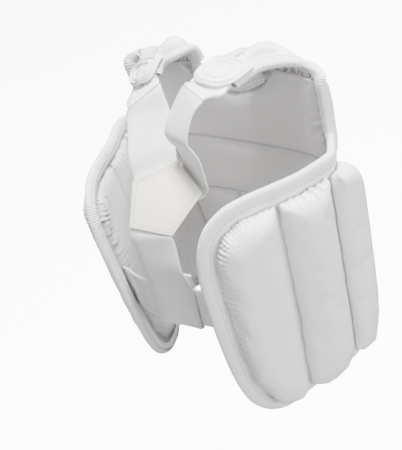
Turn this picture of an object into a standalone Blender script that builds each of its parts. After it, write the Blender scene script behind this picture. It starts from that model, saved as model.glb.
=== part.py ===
"""Karate chest protector: a padded vest with wrap-round sides, shoulder pads, straps and a waist belt.

Metres, +Z up. The wearer faces -Y and the wearer's left is +X. The origin is where the shoulders
carry it: on the middle plane, under the crest of the shoulder pads.
"""

import functools
import math
from collections import namedtuple

import bmesh
import bpy
from mathutils import Matrix, Vector

# Main sizes, with the rise from the top of the chest to the top of the shoulders
SIDE_HEIGHT = 0.270
SHOULDER_HEIGHT = 0.353
SHOULDER_RISE = 0.023
CHEST_HEIGHT = SHOULDER_HEIGHT - SHOULDER_RISE
HALF_WIDTH = 0.136
BODY_DEPTH = 0.184
SIDE_FLARE = 0.022

# Shell and padding, where the lines lie that carry a pad's rounding and the space left beside them, and how
# far up a pad its overhang at the bottom reaches, as shares of the rounding
LINING_THICKNESS = 0.0022
TUBE_THICKNESS = 0.0150
CHEST_THICKNESS = 0.0130
BAND_THICKNESS = 0.0140
SHOULDER_THICKNESS = 0.0130
PAD_EDGE_THICKNESS = 0.0035
PAD_EDGE_ROUNDING = 0.0165
ROUNDING_LINES = (0.25, 0.80)
LINE_SPACE = 1.2
HANG_REACH = 1.3
SEAM_WIDTH = 0.0024
FLANGE_WIDTH = 0.0040
BOTTOM_OVERHANG = 0.0220

# Edge binding: how far the panel reaches into it, and the clear space on each face of the panel
BINDING_WIDTH = 0.0140
BINDING_WALL = 0.0013
BINDING_HOLD = 0.0040
SLOT_GAP = 0.0017

# Seams of the padding, as heights above the bottom edge and girths from the middle of the front
BAND_TOP_HEIGHT = 0.240
BAND_BOTTOM_HEIGHT = 0.171
FRONT_TUBE_COUNT = 3
FRONT_HALF_GIRTH = 0.103
FRONT_SIDE_TUBE_WIDTH = 0.061
MIDDLE_SIDE_TUBE_WIDTH = 0.055

# Neck and armholes
NECK_HALF_WIDTH = 0.032
NECK_DROP = 0.014
ARMHOLE_GIRTH = 0.126
ARM_STEP = 0.6
FOLD_EASE = 0.24

# The rim of a shoulder pad: the shares of its length between which it turns with the outer edge, the
# height of its faces off the base there, and how far in from the binding it stops, rises and is full
RIM_TURN = (0.06, 0.24)
RIM_FACES = (-0.0010, -0.0005)
RIM_REACHES = (0.0018, 0.0036, 0.0055)

# Shoulder pads: the share of their length that is stuffed, the shares between which the stuffing thins,
# its share of the full height at the chest and by where that has grown, and the share left beside the middle
PAD_END = 0.82
STUFFING_THINS = (0.25, 0.50)
STUFFING_START = 0.4
STUFFING_GROWN = 0.12
STUFFING_BESIDE = 0.62

# Underside of a shoulder pad at the chest: how far it is lifted over the chest's padding, as a share of
# the lining, and by where that has ended
BED_LIFT = 1.4
BED_END = 0.05

# Moulded tabs on the ends of the shoulder pads, square at one end (the less, the squarer), and the stiff
# bands that come out from under them
BAND_START = 0.86
END_THICKNESS = 0.0052
TAB_LENGTH = 0.045
TAB_THICKNESS = 0.0026
TAB_RIDGE_HEIGHT = 0.0020
TAB_GAP = 0.0010
TAB_SQUARENESS = 0.35
HOOK_BAND_THICKNESS = 0.0038
HOOK_BAND_WIDTH = 0.0430

# Straps and patch, the share of its thickness left at its rim, and how far the straps are tucked under it
WEBBING_WIDTH = 0.049
WEBBING_THICKNESS = 0.0020
BACK_STRAP_THICKNESS = 0.0026
PATCH_SIDE = 0.050
PATCH_THICKNESS = 0.0030
PATCH_RIM = 0.6
STRAP_TUCK = 0.010
TUCK_START = 0.004

# Belt: how far it lies inside the right and the left side, the distance from their edge at which it leaves
# them, and the room that the loop of the back strap leaves round it
BELT_OVERLAP = 0.034
LEFT_OVERLAP = 0.008
BELT_LEAVES = 0.001
BELT_BOTTOM_HEIGHT = 0.124
LEFT_BELT_DROP = 0.008
BELT_LIFT = 0.004
LOOP_GAP = 0.0008
LOOP_CLOSE = 0.008

# Lines of the loop down the back of the belt, round its lower edge in degrees and up its front, and of the
# belt inside it, as shares of half their width, and the steps from there to each side
LOOP_DOWN = (1.15, 0.95, 0.5, 0.0, -0.5, -0.95)
LOOP_TURN = (0, -45, -90, -135, -180)
LOOP_UP = (-0.9, -0.5, 0.0, 0.5, 0.95)
BELT_STRAIGHT = (-1.1, -0.5, 0.0, 0.5, 1.1)
BELT_STEPS = 5

# The left side's bottom corner is drawn up a little, and its padding starts a share of that higher
LEFT_TUCK = 0.028
TUCK_HEIGHT = 0.130
TUCK_FOOT = 0.15

# Clear gap between pieces, behind the padding, and behind it under the armholes where the lining curves most
GAP = 0.0003
PAD_GAP = 0.0009
ARM_PAD_GAP = 0.0013

# Faces: height of a row on the padding, longest stretch of the outline, then the steps up the lining,
# along the neck, along the fold, round a tab and between the upright seams
PAD_ROW = 0.036
OUTLINE_STEP = 0.0100
HEIGHT_STEPS = 9
NECK_STEPS = 6
FOLD_STEPS = 12
TAB_STEPS = 18
SEAM_STEPS = (4, 7, 5, 5)

# Lines across a shoulder pad from its inner edge, and the rows along it from where its edges are drawn
LAST_COLUMN = 6
MIDDLE_COLUMN = 3
RIM_COLUMNS = (0, 1, 5, 6)
EAR_REACH = (-0.25, 1.10, 0.01)

Plan = namedtuple("Plan", "across forward")
Profile = namedtuple("Profile", "forward height")
Edge = namedtuple("Edge", "girth height")
Ear = namedtuple("Ear", "along inner outer droop")
Strap = namedtuple("Strap", "across forward height turn_across turn_forward turn_height")
Skew = namedtuple("Skew", "along across forward height tilt")
Ring = namedtuple("Ring", "size raised")

# Plan of the shell from the middle of the front to the back edge: shares of HALF_WIDTH and BODY_DEPTH
PLAN = (
    Plan(0.000, 1.000),
    Plan(0.404, 0.992),
    Plan(0.676, 0.962),
    Plan(0.853, 0.902),
    Plan(0.956, 0.810),
    Plan(1.000, 0.715),
    Plan(0.854, 0.505),
    Plan(0.669, 0.253),
    Plan(0.485, 0.000),
)

# Front of the body from the bottom edge over the crest to the ends of the shoulder pads:
# shares of BODY_DEPTH and SHOULDER_HEIGHT
PROFILE = (
    Profile(0.965, 0.000),
    Profile(0.995, 0.270),
    Profile(1.000, 0.530),
    Profile(1.000, 0.750),
    Profile(0.998, 0.882),
    Profile(0.993, 0.937),
    Profile(0.982, 0.976),
    Profile(0.950, 0.998),
    Profile(0.870, 1.000),
    Profile(0.740, 0.997),
    Profile(0.575, 0.986),
)

# Outer edge of a side, from the armhole round the back to the bottom: girth as a share of the half
# girth, height as a share of SIDE_HEIGHT
SIDE_EDGE = (
    Edge(0.407, 1.115),
    Edge(0.411, 1.070),
    Edge(0.427, 1.040),
    Edge(0.478, 1.025),
    Edge(0.547, 1.015),
    Edge(0.624, 1.000),
    Edge(0.715, 0.999),
    Edge(0.795, 0.998),
    Edge(0.868, 0.984),
    Edge(0.932, 0.935),
    Edge(0.968, 0.855),
    Edge(0.984, 0.740),
    Edge(0.983, 0.610),
    Edge(0.978, 0.480),
    Edge(0.965, 0.330),
    Edge(0.945, 0.210),
    Edge(0.910, 0.105),
    Edge(0.854, 0.035),
    Edge(0.784, 0.012),
    Edge(0.700, 0.042),
    Edge(0.600, 0.080),
    Edge(0.480, 0.112),
    Edge(0.330, 0.128),
    Edge(0.160, 0.130),
)

# Shoulder pads from the chest to their ends: share of the pad's length, inner edge as a share of
# HALF_WIDTH, outer edge and its droop as shares of those at the armhole
EARS = (
    Ear(0.00, 0.235, 1.000, 1.000),
    Ear(0.12, 0.235, 1.000, 0.750),
    Ear(0.24, 0.230, 0.910, 0.400),
    Ear(0.36, 0.210, 0.750, 0.250),
    Ear(0.48, 0.165, 0.570, 0.250),
    Ear(0.70, 0.140, 0.510, 0.300),
    Ear(1.00, 0.137, 0.490, 0.350),
)

# Rows of faces on a shoulder pad, as shares of its stuffed length: closer where its outer edge turns
EAR_ROWS = (0.0, 0.06, 0.11, 0.155, 0.195, 0.235, 0.28, 0.33, 0.38, 0.44, 0.52, 0.64, 0.82, 1.0)

# How far the left shoulder pad lies off the mirror of the right one: share of the pad's length, then
# shares of HALF_WIDTH, BODY_DEPTH and SHOULDER_HEIGHT, and the tilt as a share of SHOULDER_HEIGHT
LEFT_SKEW = (
    Skew(0.00, 0.000, 0.000, 0.000, 0.000),
    Skew(0.20, 0.000, 0.000, 0.000, 0.000),
    Skew(0.33, 0.030, 0.000, -0.003, 0.001),
    Skew(0.50, 0.170, 0.000, -0.018, 0.010),
    Skew(0.70, 0.250, 0.050, -0.035, 0.016),
    Skew(1.00, 0.215, 0.108, -0.056, 0.012),
)

# Middle line of each strap, as shares of HALF_WIDTH, BODY_DEPTH and SHOULDER_HEIGHT, and the
# direction across its width
LEFT_STRAP = (
    Strap(0.413, 0.596, 0.922, -0.93, 0.23, 0.28),
    Strap(0.331, 0.541, 0.890, -0.87, 0.47, 0.17),
    Strap(0.246, 0.472, 0.852, -0.77, 0.63, 0.10),
    Strap(0.173, 0.396, 0.813, -0.74, 0.67, 0.07),
)
RIGHT_STRAP = (
    Strap(-0.294, 0.512, 0.988, -0.94, -0.35, -0.02),
    Strap(-0.237, 0.445, 0.951, -0.94, -0.26, 0.23),
    Strap(-0.196, 0.371, 0.888, -0.95, -0.31, 0.09),
    Strap(-0.223, 0.394, 0.833, -0.92, -0.35, 0.17),
)
BACK_STRAP = (
    Strap(-0.107, 0.062, 0.624, -0.96, 0.25, 0.11),
    Strap(-0.123, 0.045, 0.561, -0.98, 0.17, 0.11),
)

# Middle of the yoke patch and the loop round the belt, as shares of the same sizes
PATCH_MIDDLE = Strap(-0.068, 0.226, 0.732, 0, 0, 0)
PATCH_TURN = math.radians(22)
PATCH_RISE = math.radians(57)
PATCH_ROLL = math.radians(-12)
LOOP_MIDDLE = Strap(-0.114, 0.071, 0.429, -0.970, 0.220, -0.100)

# Rings of a tab's upper face from the middle out: share of its size and of the height of its ridges
TAB_RINGS = (
    Ring(0.02, 0.0),
    Ring(0.42, 0.0),
    Ring(0.48, 1.0),
    Ring(0.56, 1.0),
    Ring(0.62, 0.0),
    Ring(0.70, 0.0),
    Ring(0.76, 1.0),
    Ring(0.85, 1.0),
    Ring(0.91, 0.0),
    Ring(1.00, -0.4),
)
TAB_BED = (1.00, 0.66, 0.33, 0.02)


def share(value, low, high):
    """Where value lies between low and high, kept within 0 and 1."""
    return min(1.0, max(0.0, (value - low) / (high - low)))


def mix(a, b, t):
    return a + (b - a) * t


def smooth_points(points, steps=None, longest=None):
    """Points on a smooth curve through the given ones, so many to a stretch or no further apart than asked."""
    points = [Vector(point) for point in points]
    first = points[0] * 2 - points[1]
    last = points[-1] * 2 - points[-2]
    run = [first, *points, last]
    out = []
    for n in range(1, len(run) - 2):
        a, b, c, d = run[n - 1 : n + 3]
        count = steps or max(2, math.ceil((c - b).length / longest))
        for step in range(count):
            t = step / count
            bow = (2 * a - 5 * b + 4 * c - d) * t**2 + (3 * b - a - 3 * c + d) * t**3
            out.append(0.5 * (2 * b + (c - a) * t + bow))
    out.append(points[-1])
    return out


class Path:
    """A smooth curve that is read by distance along it."""

    def __init__(self, points, steps=12):
        self.points = smooth_points(points, steps)
        self.marks = [0.0]
        for a, b in zip(self.points, self.points[1:]):
            self.marks.append(self.marks[-1] + (b - a).length)
        self.length = self.marks[-1]

    def at(self, distance):
        distance = min(max(distance, 0.0), self.length)
        n = 1
        while n < len(self.marks) - 1 and self.marks[n] < distance:
            n += 1
        t = (distance - self.marks[n - 1]) / (self.marks[n] - self.marks[n - 1])
        return self.points[n - 1].lerp(self.points[n], t)

    def direction(self, distance):
        reach = self.length * 0.01
        return (self.at(distance + reach) - self.at(distance - reach)).normalized()

    def distance_where(self, axis, value):
        """The first distance at which one coordinate passes the value."""
        for n in range(1, len(self.points)):
            a = self.points[n - 1][axis] - value
            b = self.points[n][axis] - value
            if a * b <= 0 and a != b:
                return mix(self.marks[n - 1], self.marks[n], a / (a - b))
        return self.length


def table_value(rows, column, position):
    """Reads a column of a table at a place between its rows, smoothly."""
    for n in range(1, len(rows)):
        if position <= rows[n][0] or n == len(rows) - 1:
            t = share(position, rows[n - 1][0], rows[n][0])
            a = getattr(rows[max(n - 2, 0)], column)
            b = getattr(rows[n - 1], column)
            c = getattr(rows[n], column)
            d = getattr(rows[min(n + 1, len(rows) - 1)], column)
            bow = (2 * a - 5 * b + 4 * c - d) * t**2 + (3 * b - a - 3 * c + d) * t**3
            return 0.5 * (2 * b + (c - a) * t + bow)


plan_path = Path([(row.across * HALF_WIDTH, (1 - row.forward) * BODY_DEPTH) for row in PLAN])
profile_path = Path([(-row.forward * BODY_DEPTH, row.height * SHOULDER_HEIGHT) for row in PROFILE])
HALF_GIRTH = plan_path.length
FOLD = profile_path.distance_where(1, CHEST_HEIGHT)
EAR_LENGTH = profile_path.length - FOLD
ORIGIN_FORWARD = profile_path.at(FOLD + EAR_LENGTH * 0.5).x
ORIGIN_HEIGHT = SHOULDER_HEIGHT - LINING_THICKNESS
BACK_SHARE = PLAN[-1].across


def backward(rise, inward, along):
    """The way inward at a height of the front: level round the body, square to the pads further up."""
    turn = share(inward, 0.0, BODY_DEPTH * 0.25) * (1 - share(along, 0.0, FOLD_EASE))
    return Vector((rise.y, -rise.x)).lerp(Vector((1, 0)), turn).normalized()


def body_point(girth, along, out):
    """A point of the shell: girth from the front's middle, distance up the front, height off the base."""
    side = 1 if girth >= 0 else -1
    tuck = (1 - share(along, 0.0, TUCK_HEIGHT)) ** 2
    along += LEFT_TUCK * tuck * share(girth, FRONT_HALF_GIRTH, HALF_GIRTH)
    plan = plan_path.at(abs(girth))
    heading = plan_path.direction(abs(girth)) if abs(girth) > 1e-6 else Vector((1, 0))
    outward = Vector((heading.y, -heading.x))
    middle = profile_path.at(along)
    rise = profile_path.direction(along)
    lean = min(1.0, plan.x / (BACK_SHARE * HALF_WIDTH))
    across = plan.x + outward.x * out + SIDE_FLARE * lean * (middle.y / SIDE_HEIGHT - 0.5)
    inward = plan.y + outward.y * out
    back = backward(rise, plan.y, 0.0)
    return Vector(
        (
            side * across,
            middle.x + back.x * inward - ORIGIN_FORWARD,
            middle.y + back.y * inward - ORIGIN_HEIGHT,
        )
    )


# Section of the body where it folds over into the shoulder pads: distance out and drop from the front
fold_girths = [ARMHOLE_GIRTH * n / FOLD_STEPS for n in range(FOLD_STEPS + 1)]
fold_path = Path([(body_point(girth, FOLD, 0.0).x, plan_path.at(girth).y) for girth in fold_girths])
ARMHOLE = fold_path.points[-1]


@functools.lru_cache(maxsize=None)
def ear_section(along):
    """Section across a shoulder pad's base, as a path of distance out and drop."""
    inner = table_value(EARS, "inner", along) * HALF_WIDTH
    outer = table_value(EARS, "outer", along) * ARMHOLE.x
    droop = table_value(EARS, "droop", along)
    points = []
    for n in range(FOLD_STEPS + 1):
        across = n / FOLD_STEPS
        reach = mix(EARS[0].inner * HALF_WIDTH, ARMHOLE.x, across)
        body = fold_path.at(fold_path.distance_where(0, reach)).y
        drop = mix(body, ARMHOLE.y * across**2, share(along, 0.0, FOLD_EASE))
        points.append((mix(inner, outer, across), drop * droop))
    return Path(points, 4)


def ear_base(across, along):
    """Distance out and drop of a shoulder pad's base."""
    section = ear_section(along)
    return section.at(across * section.length)


def ear_place(side, across, along):
    """A place on the base of a shoulder pad, at shares across and along it."""
    distance = FOLD + EAR_LENGTH * along
    middle = profile_path.at(distance)
    base = ear_base(across, along)
    back = backward(profile_path.direction(distance), base.y, along)
    forward, height = middle + back * base.y
    place = Vector((side * base.x, forward - ORIGIN_FORWARD, height - ORIGIN_HEIGHT))
    if side > 0:
        tip = table_value(LEFT_SKEW, "tilt", along) * (1 - 2 * across)
        place.x += table_value(LEFT_SKEW, "across", along) * HALF_WIDTH
        place.y -= table_value(LEFT_SKEW, "forward", along) * BODY_DEPTH
        place.z += (table_value(LEFT_SKEW, "height", along) + tip) * SHOULDER_HEIGHT
    return place


def ear_point(side, across, along, out):
    """A point of a shoulder pad: shares across and along it, and the height off its base."""
    step = 0.01
    low, high = max(across - step, 0.0), min(across + step, 1.0)
    sideways = ear_place(side, high, along) - ear_place(side, low, along)
    onward = ear_place(side, across, along + step) - ear_place(side, across, along - step)
    return ear_place(side, across, along) + sideways.cross(onward).normalized() * out * side


def ear_edges(along):
    """Where a shoulder pad's inner and outer edges lie, measured round its section from the middle plane."""
    section = ear_section(along)
    return section.points[0].x, section.points[0].x + section.length


def material(name, colour, roughness):
    made = bpy.data.materials.new(name)
    made.use_nodes = True
    shader = made.node_tree.nodes["Principled BSDF"]
    shader.inputs["Base Color"].default_value = (*colour, 1.0)
    shader.inputs["Roughness"].default_value = roughness
    shader.inputs["Metallic"].default_value = 0.0
    return made


def finished(name, mesh_data, finish, smooth_angle=40):
    """Turns a bmesh into a named object with closed outward faces."""
    bmesh.ops.recalc_face_normals(mesh_data, faces=mesh_data.faces)
    if mesh_data.calc_volume(signed=True) < 0:
        bmesh.ops.reverse_faces(mesh_data, faces=mesh_data.faces)
    mesh = bpy.data.meshes.new(name)
    mesh_data.to_mesh(mesh)
    mesh_data.free()
    mesh.shade_smooth()
    mesh.set_sharp_from_angle(angle=math.radians(smooth_angle))
    made = bpy.data.objects.new(name, mesh)
    made.data.materials.append(finish)
    bpy.context.scene.collection.objects.link(made)
    return made


def thick_sheet(sheet):
    """Gives a flat sheet in the XY plane a second layer, at Z = 1."""
    grown = bmesh.ops.extrude_face_region(sheet, geom=sheet.faces[:])
    for item in grown["geom"]:
        if isinstance(item, bmesh.types.BMVert):
            item.co.z = 1.0
    return sheet


def flat_piece(outline, girth_cuts, height_cuts):
    """A closed slab cut from the flat pattern, with lines across it so that it can bend."""
    sheet = bmesh.new()
    sheet.faces.new([sheet.verts.new((point[0], point[1], 0)) for point in outline])
    for axis, cuts in ((0, girth_cuts), (1, height_cuts)):
        for cut in cuts:
            place = Vector((0, 0, 0))
            place[axis] = cut
            normal = Vector((0, 0, 0))
            normal[axis] = 1.0
            bmesh.ops.bisect_plane(
                sheet,
                geom=sheet.verts[:] + sheet.edges[:] + sheet.faces[:],
                dist=1e-5,
                plane_co=place,
                plane_no=normal,
            )
    bmesh.ops.triangulate(sheet, faces=sheet.faces)
    return thick_sheet(sheet)


def unit_slab(columns, rows):
    """A slab over the unit square, cut into columns and rows."""
    sheet = bmesh.new()
    bmesh.ops.create_grid(sheet, x_segments=columns, y_segments=rows, size=0.5)
    bmesh.ops.translate(sheet, verts=sheet.verts, vec=(0.5, 0.5, 0.0))
    return thick_sheet(sheet)


def bend(slab, place):
    """Moves each corner of a flat slab to its place on the body."""
    for corner in slab.verts:
        corner.co = place(*corner.co)
    return slab


def crown(distance, full):
    """Height of a stuffed pad at a distance from its edge."""
    t = share(distance, 0.0, PAD_EDGE_ROUNDING)
    return mix(PAD_EDGE_THICKNESS, full, math.sqrt(1 - (1 - t) ** 2))


def pattern_half():
    """The outer edge of one half in the flat pattern, from the fold of the armhole to the bottom."""
    points = [(row.girth * HALF_GIRTH, row.height * SIDE_HEIGHT) for row in SIDE_EDGE]
    points[0] = (ARMHOLE_GIRTH, FOLD)
    return smooth_points(points + [(0.0, points[-1][1])], longest=OUTLINE_STEP)


def inset(points, distance):
    """Moves an open run of pattern points towards the middle of the side."""
    out = []
    for n, point in enumerate(points):
        before = points[max(n - 1, 0)]
        after = points[min(n + 1, len(points) - 1)]
        run = (after - before).normalized()
        out.append(point + Vector((run.y, -run.x)) * distance)
    return out


SIDE_OUTLINE = pattern_half()
SEAM_GIRTHS = (
    FRONT_HALF_GIRTH / FRONT_TUBE_COUNT,
    FRONT_HALF_GIRTH,
    FRONT_HALF_GIRTH + FRONT_SIDE_TUBE_WIDTH,
    FRONT_HALF_GIRTH + FRONT_SIDE_TUBE_WIDTH + MIDDLE_SIDE_TUBE_WIDTH,
    HALF_GIRTH,
)


def girth_cuts():
    """Upright lines across the pattern, closer together where the body turns, with one on every seam."""
    cuts = []
    start = SEAM_GIRTHS[0]
    for end, steps in zip(SEAM_GIRTHS[1:], SEAM_STEPS):
        cuts += [mix(start, end, n / steps) for n in range(steps)]
        start = end
    return [-cut for cut in reversed(cuts)] + [0.0] + cuts


GIRTH_CUTS = girth_cuts()
HEIGHT_CUTS = [FOLD * n / HEIGHT_STEPS for n in range(1, HEIGHT_STEPS)]


def crossings(girth, distance):
    """Heights at which the edge, moved in by a distance, passes a girth."""
    run = inset(SIDE_OUTLINE, distance)
    found = []
    for a, b in zip(run, run[1:]):
        if (a.x - girth) * (b.x - girth) <= 0 and a.x != b.x:
            found.append(mix(a.y, b.y, (girth - a.x) / (b.x - a.x)))
    return found


def low_edge(girth, distance):
    return min(crossings(max(abs(girth), 1e-5), distance))


def high_edge(girth, distance):
    return max(crossings(abs(girth), distance))


def neck_height(girth):
    """Height of the neckline."""
    return FOLD - NECK_DROP * (1 - share(abs(girth), 0.0, NECK_HALF_WIDTH) ** 2)


def pad_lines(start, end, inside):
    """Lines across a pad: its edges, those near them that carry the rounding, and the ones asked for."""
    near, far = [PAD_EDGE_ROUNDING * place for place in ROUNDING_LINES]
    kept = [line for line in inside if start + far * LINE_SPACE < line < end - far * LINE_SPACE]
    return [start, start + near, start + far] + kept + [end - far, end - near, end]


def pad(name, side, span, low, high, full, finish, hang=None, gap=PAD_GAP):
    """A stuffed pad outside the lining, crowned in front, from low to high over a span of girths."""
    start, end = span
    middle = (start + end) / 2
    tall = high(middle) - low(middle)
    count = round(tall / PAD_ROW)
    columns = pad_lines(start, end, [cut * side for cut in GIRTH_CUTS][::side])
    rows = pad_lines(0.0, tall, [tall * n / count for n in range(1, count)])
    last = len(rows) - 1

    def rise_of(row, reach):
        ease = min(1.0, reach / (4 * PAD_EDGE_ROUNDING))
        if row < 3:
            return rows[row] * ease
        if row > last - 3:
            return reach - (tall - rows[row]) * ease
        return mix(rows[2] * ease, reach - rows[2] * ease, (row - 2) / (last - 4))

    def place(across, up, layer):
        girth = columns[round(across * (len(columns) - 1))]
        bottom = low(girth)
        reach = high(girth) - bottom
        rise = rise_of(round(up * last), reach)
        if layer < 0.5:
            return body_point(girth * side, bottom + rise, gap)
        beside = min(girth - start, end - girth)
        height = bottom + rise
        if hang:
            t = share(rise, 0.0, PAD_EDGE_ROUNDING * HANG_REACH)
            bulge = mix(0.5, 1.0, share(beside, 0.0, PAD_EDGE_ROUNDING))
            height -= hang(girth) * bulge * 4 * t * (1 - t)
        return body_point(girth * side, height, gap + crown(min(beside, rise, reach - rise), full))

    return finished(name, bend(unit_slab(len(columns) - 1, last), place), finish)


def line_height(run, girth):
    """Height of an open run of pattern points at a girth, the run going towards the middle."""
    for a, b in zip(run, run[1:]):
        if girth >= b.x or b is run[-1]:
            return mix(a.y, b.y, share(girth, a.x, b.x))


def neck_half():
    """The neckline in the flat pattern, from the shoulder pad to the middle."""
    girths = [NECK_HALF_WIDTH * (1 - n / NECK_STEPS) for n in range(NECK_STEPS + 1)]
    return [Vector((girth, neck_height(girth))) for girth in girths]


def make_lining(finish):
    """The inner lining: one thin panel round the front and both sides."""
    edge = BINDING_WIDTH - BINDING_HOLD
    side = [point for point in inset(SIDE_OUTLINE, edge) if point.y < FOLD - GAP and point.x > GAP]
    neck = [point for point in reversed(inset(neck_half(), -edge)) if GAP < point.x and point.y < FOLD - edge]
    corner = [Vector((NECK_HALF_WIDTH + edge, FOLD - edge)), Vector((NECK_HALF_WIDTH + edge, FOLD - GAP))]
    half = neck + corner + [Vector((side[0].x, FOLD - GAP))] + side
    other = [Vector((-point.x, point.y)) for point in reversed(half)]
    slab = flat_piece([Vector((0.0, neck_height(0.0) - edge))] + half + other, GIRTH_CUTS, HEIGHT_CUTS)
    return finished(
        "body_lining",
        bend(slab, lambda girth, height, layer: body_point(girth, height, -LINING_THICKNESS * layer)),
        finish,
    )


def make_front(finish):
    """The front padding: a chest pad, a band under it and a row of upright tubes."""
    clear = BINDING_WIDTH + FLANGE_WIDTH
    seam = SEAM_WIDTH / 2
    chest_reach = ARMHOLE_GIRTH - clear

    collar = inset(neck_half(), -clear)
    beside = collar[0].x

    def chest_top(girth):
        under = line_height(collar, min(abs(girth), beside))
        rise = share(abs(girth), beside, NECK_HALF_WIDTH + clear)
        return mix(under, FOLD - SEAM_WIDTH, rise * rise * (3 - 2 * rise))

    def low(girth):
        return low_edge(girth, clear)

    span = (-chest_reach, chest_reach)
    pad("chest_pad", 1, span, lambda girth: BAND_TOP_HEIGHT + seam, chest_top, CHEST_THICKNESS, finish)
    span = (seam - FRONT_HALF_GIRTH, FRONT_HALF_GIRTH - seam)
    band = (BAND_BOTTOM_HEIGHT + seam, BAND_TOP_HEIGHT - seam)
    pad("chest_band", 1, span, lambda girth: band[0], lambda girth: band[1], BAND_THICKNESS, finish)

    def tube_top(girth):
        return BAND_BOTTOM_HEIGHT - seam

    def tube_hang(girth):
        return BOTTOM_OVERHANG

    width = 2 * FRONT_HALF_GIRTH / FRONT_TUBE_COUNT
    for n in range(FRONT_TUBE_COUNT):
        start = -FRONT_HALF_GIRTH + width * n
        span = (start + seam, start + width - seam)
        pad(f"front_tube_{n + 1}", 1, span, low, tube_top, TUBE_THICKNESS, finish, tube_hang)


def make_side(side, finish):
    """Three upright tubes round one side of the body."""
    clear = BINDING_WIDTH + FLANGE_WIDTH
    seam = SEAM_WIDTH / 2
    first = FRONT_HALF_GIRTH
    second = first + FRONT_SIDE_TUBE_WIDTH
    third = second + MIDDLE_SIDE_TUBE_WIDTH
    end = max(point.x for point in inset(SIDE_OUTLINE, clear)) - GAP
    step = ARMHOLE_GIRTH + clear * ARM_STEP
    foot = LEFT_TUCK * TUCK_FOOT if side > 0 else 0.0

    def low(girth):
        return low_edge(girth, clear) + foot

    def high(girth):
        return high_edge(girth, clear)

    def front_top(girth):
        rise = share(girth, step - clear, step + clear * 0.5)
        return mix(BAND_TOP_HEIGHT - seam, high(max(girth, step)), rise * rise * (3 - 2 * rise))

    def hang(girth):
        return BOTTOM_OVERHANG * (1 - share(girth, third, third + BOTTOM_OVERHANG))

    for place, span, top, gap in (
        ("front", (first + seam, second - seam), front_top, ARM_PAD_GAP),
        ("middle", (second + seam, third - seam), high, PAD_GAP),
        ("back", (third + seam, end), high, PAD_GAP),
    ):
        pad(f"side_tube_{side_word(side)}_{place}", side, span, low, top, TUBE_THICKNESS, finish, hang, gap)


def swept(name, stations, section, finish):
    """A strip of constant section along stations of (place, inward, outward)."""
    around = len(section)
    strip = bmesh.new()
    bmesh.ops.create_grid(strip, x_segments=len(stations) - 1, y_segments=around, size=0.5)
    for corner in strip.verts:
        n = round((corner.co.x + 0.5) * (len(stations) - 1))
        k = round((corner.co.y + 0.5) * around) % around
        place, inward, outward = stations[n]
        corner.co = place + inward * section[k][0] + outward * section[k][1]
    bmesh.ops.remove_doubles(strip, verts=strip.verts, dist=1e-6)
    bmesh.ops.holes_fill(strip, edges=[edge for edge in strip.edges if edge.is_boundary], sides=around)
    return finished(name, strip, finish)


def binding_section(inner_half, outer_half):
    """A folded tape, open towards the panel, as (inward, outward) pairs."""
    wall = BINDING_WALL
    return (
        (BINDING_WIDTH, outer_half),
        (0.0, outer_half * 0.75),
        (0.0, -outer_half * 0.75),
        (BINDING_WIDTH, -outer_half),
        (BINDING_WIDTH, -inner_half),
        (wall, -inner_half),
        (wall, inner_half),
        (BINDING_WIDTH, inner_half),
    )


def edge_stations(rows, outward_sign):
    """Stations along rows of (edge, point inside the panel), each with the ways into and out of the panel."""
    out = []
    for n, (edge, inside) in enumerate(rows):
        along = rows[min(n + 1, len(rows) - 1)][0] - rows[max(n - 1, 0)][0]
        inward = (inside - edge) / BINDING_WIDTH
        out.append((edge, inward, along.cross(inward).normalized() * outward_sign))
    return out


def place_of(row):
    """The world place of a table row."""
    return Vector(
        (
            row.across * HALF_WIDTH,
            -row.forward * BODY_DEPTH - ORIGIN_FORWARD,
            row.height * SHOULDER_HEIGHT - ORIGIN_HEIGHT,
        )
    )


def turn_of(row):
    """The direction across a strap's width at a table row."""
    return Vector((row.turn_across, -row.turn_forward, row.turn_height)).normalized()


def ear_lines(number):
    """Lines on a shoulder pad's pattern square in from its inner (0) or outer (1) edge."""
    count = round((EAR_REACH[1] - EAR_REACH[0]) / EAR_REACH[2])
    alongs = [EAR_REACH[0] + EAR_REACH[2] * n for n in range(count + 1)]
    edge = [Vector((ear_edges(along)[number], along * EAR_LENGTH)) for along in alongs]
    way = 1 if number == 0 else -1
    return {depth: inset(edge, depth * way) for depth in (0.0, BINDING_WIDTH, *RIM_DEPTHS)}


RIM_DEPTHS = [BINDING_WIDTH + reach for reach in (-BINDING_HOLD, *RIM_REACHES)]
EAR_LINES = (ear_lines(0), ear_lines(1))


def ear_line(number, along, depth):
    """Distance out at which one of the lines passes a height of the pad, and how far along the line it is."""
    run = EAR_LINES[number][depth]
    level = along * EAR_LENGTH
    found = []
    for n, (a, b) in enumerate(zip(run, run[1:])):
        if (a.y - level) * (b.y - level) <= 0 and a.y != b.y:
            t = (level - a.y) / (b.y - a.y)
            found.append((mix(a.x, b.x, t), n + t))
    return max(found) if number == 0 else min(found)


def chart_place(side, spot):
    """The place on a shoulder pad's base of a spot of its pattern."""
    along = spot.y / EAR_LENGTH
    inner, outer = ear_edges(along)
    return ear_place(side, (spot.x - inner) / (outer - inner), along)


def rim_place(side, number, along):
    """The place of the rim's edge, on a straight line between the binding's fold and its inner edge."""
    _, mark = ear_line(number, along, RIM_DEPTHS[0])
    n = min(int(mark), len(EAR_LINES[number][0.0]) - 2)
    fold, inside = [
        chart_place(side, line[n].lerp(line[n + 1], mark - n))
        for line in (EAR_LINES[number][0.0], EAR_LINES[number][BINDING_WIDTH])
    ]
    return fold.lerp(inside, RIM_DEPTHS[0] / BINDING_WIDTH)


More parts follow.
